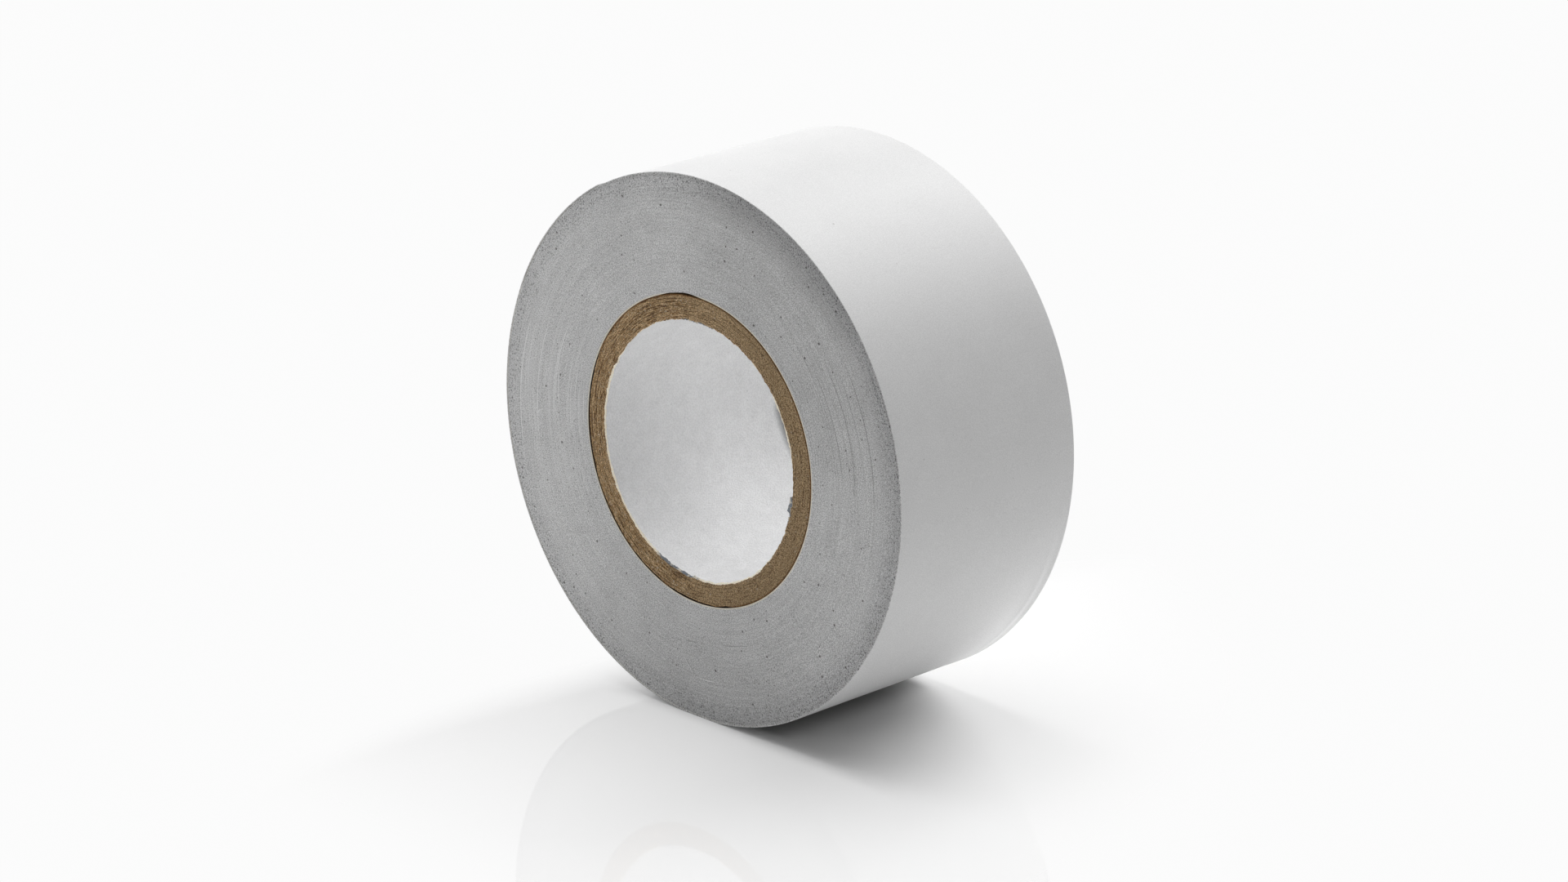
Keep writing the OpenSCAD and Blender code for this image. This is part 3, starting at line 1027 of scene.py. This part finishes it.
def floor_finish():
    """White gloss acrylic that keeps the roll's shadow and its reflection, and is plain white further out."""
    material = bpy.data.materials.new("white_acrylic")
    material.use_nodes = True
    tree = material.node_tree
    shader = tree.nodes["Principled BSDF"].inputs
    shader["Roughness"].default_value = 0.03
    shader["IOR"].default_value = FLOOR_IOR
    shader["Emission Color"].default_value = (1, 1, 1, 1)
    fresnel = tree.nodes.new("ShaderNodeFresnel")
    fresnel.inputs["IOR"].default_value = FLOOR_IOR
    camera_ray = Value(tree.nodes.new("ShaderNodeLightPath").outputs["Is Camera Ray"])
    other_ray = 1.0 - camera_ray
    x, y, _ = split(Value(tree.nodes.new("ShaderNodeTexCoord").outputs["Object"]))
    past_end = maths("ABSOLUTE", y) - BACK
    along = maths("MAXIMUM", past_end, 0.0)
    beside = maths("MAXIMUM", x, x * -LEFT_TIMES)
    away = diagonal(beside, along)
    # How plain the floor is shown. It turns plain sooner behind the roll than in front of it.
    skew = 0.3
    skewed = diagonal(maths("MAXIMUM", beside + y * skew, 0.0), along)
    ahead = FRONT - y
    open_front = (ramp(ahead, -1.5 * MM, 3 * MM, 0.0, NEAR_PLAIN)
                  + ramp(ahead, 3 * MM, 70 * MM, 0.0, 1.0 - NEAR_PLAIN))
    plain = maths("MAXIMUM", ramp(skewed, 15 * MM, 75 * MM), open_front)
    # The floor's colour is what its lit part shows the camera, and what it throws back otherwise
    # A contact shadow painted for the camera where the flat meets the floor
    painted_contact_shadow = ramp(maths("ABSOLUTE", x), 9 * MM, 19 * MM, 1.0, 0.0) * ramp(past_end, -4 * MM, -1 * MM, 1.0, 0.0)
    lit = camera_ray * (1.0 - plain) * spread(painted_contact_shadow, 1.0, CONTACT_SHADOW_TONE)
    bounce = ramp(away, 8 * MM, 40 * MM, BOUNCE_UNDER, BOUNCE)
    wire(mixed(lit + other_ray * bounce, (0, 0, 0), (1, 1, 1)), shader["Base Color"])
    # The plain part glows for the camera, short of what it mirrors. Behind the roll it glows for other rays.
    clear = FLOOR_WHITE - Value(fresnel.outputs["Fac"]) * SKY
    white = maths("MULTIPLY", clear, plain, clamp=True) * camera_ray
    rear = ramp(y, 0.5 * BACK, 1.6 * BACK, 0.0, REAR_GLOW) * ramp(away, 26 * MM, 90 * MM, 1.0, 0.0)
    rear = rear * ramp(x, -20 * MM, 20 * MM)
    wire(white + rear * other_ray, shader["Emission Strength"])
    return material


def build_floor():
    corners = [(x * FLOOR_REACH, y * FLOOR_REACH, -STAND) for x, y in ((-1, -1), (1, -1), (1, 1), (-1, 1))]
    mesh = bpy.data.meshes.new("floor")
    mesh.from_pydata(corners, [], [(0, 1, 2, 3)])
    mesh.materials.append(floor_finish())
    piece = bpy.data.objects.new("floor", mesh)
    bpy.context.scene.collection.objects.link(piece)


def build_world():
    """White for the eye and in what shines. Only the lamps and the floor light the roll."""
    world = bpy.data.worlds.new("studio")
    bpy.context.scene.world = world
    world.use_nodes = True
    path = world.node_tree.nodes.new("ShaderNodeLightPath").outputs
    shone = maths("MAXIMUM", Value(path["Is Glossy Ray"]), Value(path["Is Transmission Ray"]))
    background = world.node_tree.nodes["Background"].inputs
    background["Color"].default_value = (1, 1, 1, 1)
    wire(maths("MAXIMUM", Value(path["Is Camera Ray"]), shone * SKY), background["Strength"])


def soft_lamp(name, place, size, watts):
    """A round soft box that faces the roll."""
    light = bpy.data.lights.new(name, "AREA")
    light.shape = "DISK"
    light.size = size
    light.energy = watts
    lamp = bpy.data.objects.new(name, light)
    lamp.location = place
    lamp.rotation_mode = "QUATERNION"
    lamp.rotation_quaternion = (-Vector(place)).to_track_quat("-Z", "Y")
    bpy.context.scene.collection.objects.link(lamp)


def build_camera():
    """The photograph's own view, found by fitting the roll's circles."""
    azimuth, elevation = math.radians(45.4354), math.radians(18.5702)
    distance = 742.8 * MM
    aim = Vector((17.66 * MM, FRONT - 0.06 * MM, 5.865 * MM))
    back = Vector((math.sin(azimuth) * math.cos(elevation), -math.cos(azimuth) * math.cos(elevation),
                   math.sin(elevation)))
    camera = bpy.data.cameras.new("camera")
    camera.sensor_width = 36.0
    camera.lens = 121.99
    camera.clip_start = 0.05
    camera.clip_end = 20.0
    holder = bpy.data.objects.new("camera", camera)
    holder.location = aim + back * distance
    holder.rotation_mode = "QUATERNION"
    holder.rotation_quaternion = (-back).to_track_quat("-Z", "Y")
    bpy.context.scene.collection.objects.link(holder)
    bpy.context.scene.camera = holder


build_camera()
build_core()
build_winding()
build_tape_turns()
build_floor()
build_world()
for name, place, size, watts in LAMPS:
    soft_lamp(name, place, size, watts)
bpy.context.scene.view_settings.view_transform = "Standard"
